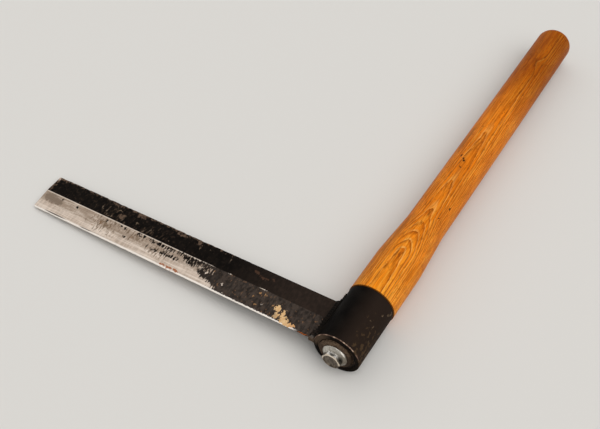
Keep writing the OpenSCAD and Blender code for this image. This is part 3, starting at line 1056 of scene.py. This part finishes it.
def make_blade():
    """Flat bar with two long bevels and broken corners, cut fine enough for its wear to show."""
    bm = bmesh.new()
    bmesh.ops.create_cube(bm, size=1.0)
    size = Vector((BLADE_REACH + ROOT_X, SPINE_Y - EDGE_Y, BLADE_T))
    middle = Vector(((ROOT_X - BLADE_REACH) / 2, (SPINE_Y + EDGE_Y) / 2, 0.0))
    bmesh.ops.scale(bm, vec=size, verts=bm.verts)
    bmesh.ops.translate(bm, vec=middle, verts=bm.verts)
    for v in bm.verts:
        if v.co.x < middle.x and v.co.y < middle.y:
            v.co.x += TIP_RAKE
    corners = [e for e in bm.edges if all(v.co.x < middle.x for v in e.verts)
               and abs(e.verts[0].co.z - e.verts[1].co.z) > BLADE_T / 2]
    break_edges(bm, corners, TIP_CORNER_R, 4)

    # Cuts across and along the blade, so that its section and its wear have something to move
    def cut(at, normal):
        whole = bm.verts[:] + bm.edges[:] + bm.faces[:]
        bmesh.ops.bisect_plane(bm, geom=whole, dist=0.0001, plane_co=at, plane_no=normal)

    cut_x = -BLADE_REACH + 2.0
    column = 1.6
    while cut_x < ROOT_X - 0.5:
        cut((cut_x, 0, 0), (1, 0, 0))
        cut_x += column
    rows = 26
    for k in range(1, rows):
        cut((0, EDGE_Y + (SPINE_Y - EDGE_Y) * k / rows, 0), (0, 1, 0))
    for y in (HONED_Y, BEVEL_Y):
        cut((0, y, 0), (0, 1, 0))
    for v in bm.verts:
        v.co.z = math.copysign(blade_half_thickness(v.co.y), v.co.z)

    # The long corners are broken by wear
    def along(e, y):
        return all(abs(v.co.y - y) < 0.01 for v in e.verts) and e.calc_length() > 0.3 \
            and abs(e.verts[0].co.z - e.verts[1].co.z) < 0.01

    def at_tip(e):
        return all(v.co.x < -BLADE_REACH + TIP_RAKE + TIP_CORNER_R + 0.2 for v in e.verts) \
            and e.is_manifold and e.calc_face_angle(0) > math.radians(60)

    break_edges(bm, [e for e in bm.edges if along(e, SPINE_Y) or at_tip(e)], SPINE_BROKEN, 3)
    break_edges(bm, [e for e in bm.edges if along(e, BEVEL_Y)], RIDGE_BROKEN, 2)
    wear_and_fit_blade(bm)
    bmesh.ops.recalc_face_normals(bm, faces=bm.faces)
    return lay(bm, "froe_blade", "blade_steel", forged_blade(), "blade")


def make_root_weld(weld):
    """The bead round the root of the blade, with the ripples of a hand-held electrode."""
    bm = bmesh.new()
    bm.from_mesh(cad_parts["blade_weld"].data)
    bmesh.ops.remove_doubles(bm, verts=bm.verts, dist=0.00001)
    bmesh.ops.transform(bm, matrix=LAID.inverted(), verts=bm.verts)
    body = put("root_weld_draft", meshed(bm, "root_weld_draft"))
    body.modifiers.new("even", "REMESH").voxel_size = WELD_MESH
    bpy.context.view_layer.update()
    bm = bmesh.new()
    bm.from_object(body, bpy.context.evaluated_depsgraph_get())
    bpy.data.objects.remove(body)
    for _ in range(2):
        bmesh.ops.smooth_vert(
            bm, verts=bm.verts, factor=0.5, use_axis_x=True, use_axis_y=True, use_axis_z=True,
        )
    bm.normal_update()
    for v in bm.verts:
        x, y, z = v.co
        above_face = abs(z) - blade_half_thickness(y) if y < SPINE_Y else SPINE_WELD_R
        clear = min(math.hypot(x, z) - SOCKET_R, above_face)
        share = min(1.0, max(0.0, clear / WELD_MARGIN))
        curve = WELD_BOW * (x + SOCKET_R + 3) ** 2
        wave = math.sin(math.tau * (y + curve) / WELD_RIPPLE_W)
        lump = noise.noise(Vector((x / 2.5, y / 2.5, z / 2.5)))
        v.co += v.normal * share * (WELD_RIPPLE * wave + WELD_LUMP * lump - WELD_SINK)
    return lay(bm, "root_weld", "black_steel", weld, "blade_weld")


def make_socket():
    """The tube, with rims rounded by wear and small dents in the lower one."""
    outline = [
        *rounded((BORE_R, 5), (BORE_R, 0), (SOCKET_R, 0), 0.25, 2),
        *rounded((BORE_R, 0), (SOCKET_R, 0), (SOCKET_R, 9), RIM_ROUND, 4),
        *rounded((SOCKET_R, 9), (SOCKET_R, SOCKET_H), (BORE_R, SOCKET_H), RIM_ROUND, 4),
        *rounded((SOCKET_R, SOCKET_H), (BORE_R, SOCKET_H), (BORE_R, 9), 0.25, 2),
    ]
    bm = turned(stepped(outline, 4.0))
    dented_h = 2.0
    for v in bm.verts:
        if v.co.y < dented_h and math.hypot(v.co.x, v.co.z) > BORE_R + 1.5:
            dent = RIM_DENT * max(0.0, noise.noise(Vector((v.co.x / 5, 4.0, v.co.z / 5))))
            v.co.y += dent * (dented_h - v.co.y) / dented_h
    return lay(bm, "socket_tube", "black_steel", worn_black_paint(), "socket")


def make_base_weld(weld):
    """Ring of weld in the groove between the tube and its base plate, with a rippled crown."""
    inside = PLATE_R - BASE_WELD_PREP
    crown_steps = 8
    crown = []
    for k in range(crown_steps + 1):
        share = k / crown_steps
        rise = BASE_WELD_CROWN * math.sin(math.pi * share)
        crown.append((inside + (BORE_R - inside) * share, PLATE_Y - rise))
    groove_y = PLATE_Y + BASE_WELD_PREP
    bm = turned([*crown, (BORE_R, groove_y), (PLATE_R, groove_y)], steps=240)
    for v in bm.verts:
        angle = math.atan2(v.co.z, v.co.x)
        wave = 0.5 + 0.5 * math.sin(RING_RIPPLES * angle + noise.noise(v.co * 0.3))
        if v.co.y < PLATE_Y - 0.1:
            v.co.y += RING_RIPPLE * wave
    return lay(bm, "base_weld_bead", "black_steel", weld, "base_weld")


def make_washer():
    """Stamped washer, hanging against the screw: one rounded face edge, one square."""
    hole_r = SCREW_R + WASHER_PLAY
    outline = [
        (hole_r, PLATE_Y),
        *rounded((hole_r, PLATE_Y), (hole_r, SEAT_Y), (WASHER_R, SEAT_Y), 0.2, 2),
        *rounded((hole_r, SEAT_Y), (WASHER_R, SEAT_Y), (WASHER_R, PLATE_Y), 0.5, 4),
        (WASHER_R, PLATE_Y),
    ]
    bm = turned(stepped(outline, 1.2))
    for v in bm.verts:
        if v.co.y < SEAT_Y + 0.05 and math.hypot(v.co.x, v.co.z) > FLANGE_R:
            wear_and_shade = 0.5 + 0.5 * noise.noise(Vector((v.co.x / 2.5, 1.0, v.co.z / 2.5)))
            v.co.y += WASHER_WEAR * wear_and_shade
    bmesh.ops.translate(bm, vec=(-WASHER_PLAY, 0, 0), verts=bm.verts)
    return lay(bm, "washer_plate", "rusted_steel", rusted_washer(), "washer")


def make_screw():
    """Lag screw: chamfered hexagon on a sloping flange, plain shank, and a coarse thread wound as
    one ridge."""
    flat_r = HEX_ACROSS / 2
    cone_r = flat_r - 1
    cone_y = FLANGE_Y - (FLANGE_R - cone_r) * math.tan(FLANGE_SLOPE)
    root_r = SCREW_R - THREAD_DEPTH
    thread_l = SCREW_L - SHANK_L - 2 * SCREW_R
    outline = [
        (0, cone_y),
        (cone_r, cone_y),
        *rounded((cone_r, cone_y), (FLANGE_R, FLANGE_Y), (FLANGE_R, SEAT_Y), 0.5, 4),
        *rounded((FLANGE_R, FLANGE_Y), (FLANGE_R, SEAT_Y), (0, SEAT_Y), 0.2, 2),
        (SCREW_R + 0.4, SEAT_Y),
        (SCREW_R, SEAT_Y + 0.4),
        (SCREW_R, SHANK_END_Y),
        (root_r, SHANK_END_Y + 1.6),
        (root_r, SHANK_END_Y + thread_l),
        (0, SCREW_TIP_Y - THREAD_GAP),
    ]
    bm = turned(outline, closed=False, steps=96)

    # Hexagon: a ring of points pushed out to the six flats, chamfered as by a cone
    face_r = flat_r * 0.99
    sides = 72
    base = bmesh.ops.create_circle(bm, segments=sides, radius=flat_r, cap_ends=False)["verts"]
    for v in base:
        angle = math.atan2(v.co.y, v.co.x)
        sector = (angle - HEX_TURN) % math.radians(60) - math.radians(30)
        r = flat_r / math.cos(sector)
        v.co = Vector((r * math.cos(angle), FLANGE_Y, r * math.sin(angle)))
    ring = list(dict.fromkeys(e for v in base for e in v.link_edges))
    chamfer = math.tan(math.radians(30))
    end_rings = ((None, 0), (face_r, HEAD_Y), (CUP_R, HEAD_Y), (CUP_R - 0.3, HEAD_Y + CUP_DEPTH))
    edges = ring
    for radius, height in end_rings:
        made = bmesh.ops.extrude_edge_only(bm, edges=edges)["geom"]
        for v in made:
            if isinstance(v, bmesh.types.BMVert):
                r = math.hypot(v.co.x, v.co.z)
                if radius is None:
                    v.co.y = HEAD_Y + (r - face_r) * chamfer
                else:
                    v.co = Vector((v.co.x * radius / r, height, v.co.z * radius / r))
        edges = [g for g in made if isinstance(g, bmesh.types.BMEdge)]
        edges = [e for e in edges if len(e.link_faces) == 1]
    bmesh.ops.contextual_create(bm, geom=edges)
    bmesh.ops.contextual_create(bm, geom=ring)

    # Thread ridge, sunk a little into the core, wound up the axis
    sunk_r = root_r - 0.2
    section = [(sunk_r, 0.0), (SCREW_R, 0.9), (SCREW_R, 1.2), (sunk_r, 1.6)]
    ridge = [bm.verts.new((r, SHANK_END_Y + 0.8 + h, 0)) for r, h in section]
    face = bm.faces.new(ridge)
    turns = int(thread_l / THREAD_PITCH) - 1
    steps = 48 * turns
    bmesh.ops.spin(
        bm, geom=[face, *face.edges, *face.verts], cent=(0, 0, 0), axis=(0, 1, 0),
        dvec=(0, THREAD_PITCH * turns / steps, 0), angle=math.tau * turns, steps=steps,
    )
    bmesh.ops.recalc_face_normals(bm, faces=bm.faces)
    return lay(bm, "lag_screw_body", "zinc_plate", zinc_plate(), "lag_screw")


def dress_base_plate():
    """The closing plate keeps its own solid, in the black of the socket."""
    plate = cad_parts["base_plate"]
    plate.data.materials.clear()
    plate.data.materials.append(bpy.data.materials["worn_black_paint"])


def studio():
    """A pale floor, a broad soft key from the right, a weaker one behind the blade, even light."""
    bm = bmesh.new()
    bmesh.ops.create_grid(bm, x_segments=1, y_segments=1, size=20.0)
    floor = put("floor", meshed(bm, "floor"))
    material = bpy.data.materials.new("pale_floor")
    material.use_nodes = True
    shader = material.node_tree.nodes["Principled BSDF"]
    shader.inputs["Base Color"].default_value = linear("#dcdad6")
    shader.inputs["Roughness"].default_value = 0.9
    shader.inputs["Specular IOR Level"].default_value = 0.1
    floor.data.materials.append(material)

    for name, towards, strength, spread in LAMPS:
        lamp = bpy.data.lights.new(name, "SUN")
        lamp.energy = strength
        lamp.angle = math.radians(spread)
        put(name, lamp).rotation_euler = Vector(towards).to_track_quat("Z", "Y").to_euler()

    world = bpy.data.worlds.new("studio")
    bpy.context.scene.world = world
    world.use_nodes = True
    tree = world.node_tree
    backdrop = tree.nodes["Background"]
    backdrop.inputs["Color"].default_value = linear("#f4f2ef")
    path = tree.nodes.new("ShaderNodeLightPath")
    rays = [path.outputs[f"Is {kind} Ray"] for kind in ("Camera", "Glossy", "Transmission")]
    seen = combine(tree, *rays, by="MAXIMUM")
    strength = add(tree, "MapRange", (seen, 0.0, 1.0, ROOM_LIGHT, ROOM_SEEN))
    tree.links.new(strength, backdrop.inputs["Strength"])


def place_camera():
    """The photograph's camera."""
    data = bpy.data.cameras.new("camera")
    data.lens = CAMERA_LENS
    data.clip_start = 0.01
    data.clip_end = 100
    camera = put("camera", data)
    camera.matrix_world = (
        Matrix.Translation(CAMERA_AT * MM)
        @ Matrix.Rotation(math.radians(CAMERA_AZIMUTH), 4, "Z")
        @ Matrix.Rotation(math.radians(90 - CAMERA_ELEVATION), 4, "X")
        @ Matrix.Rotation(math.radians(CAMERA_ROLL), 4, "Z")
    )
    bpy.context.scene.camera = camera


place_camera()
studio()
make_handle()
make_blade()
weld = weld_metal()
make_root_weld(weld)
make_socket()
make_base_weld(weld)
make_washer()
make_screw()
dress_base_plate()
bpy.context.scene.view_settings.view_transform = "Standard"
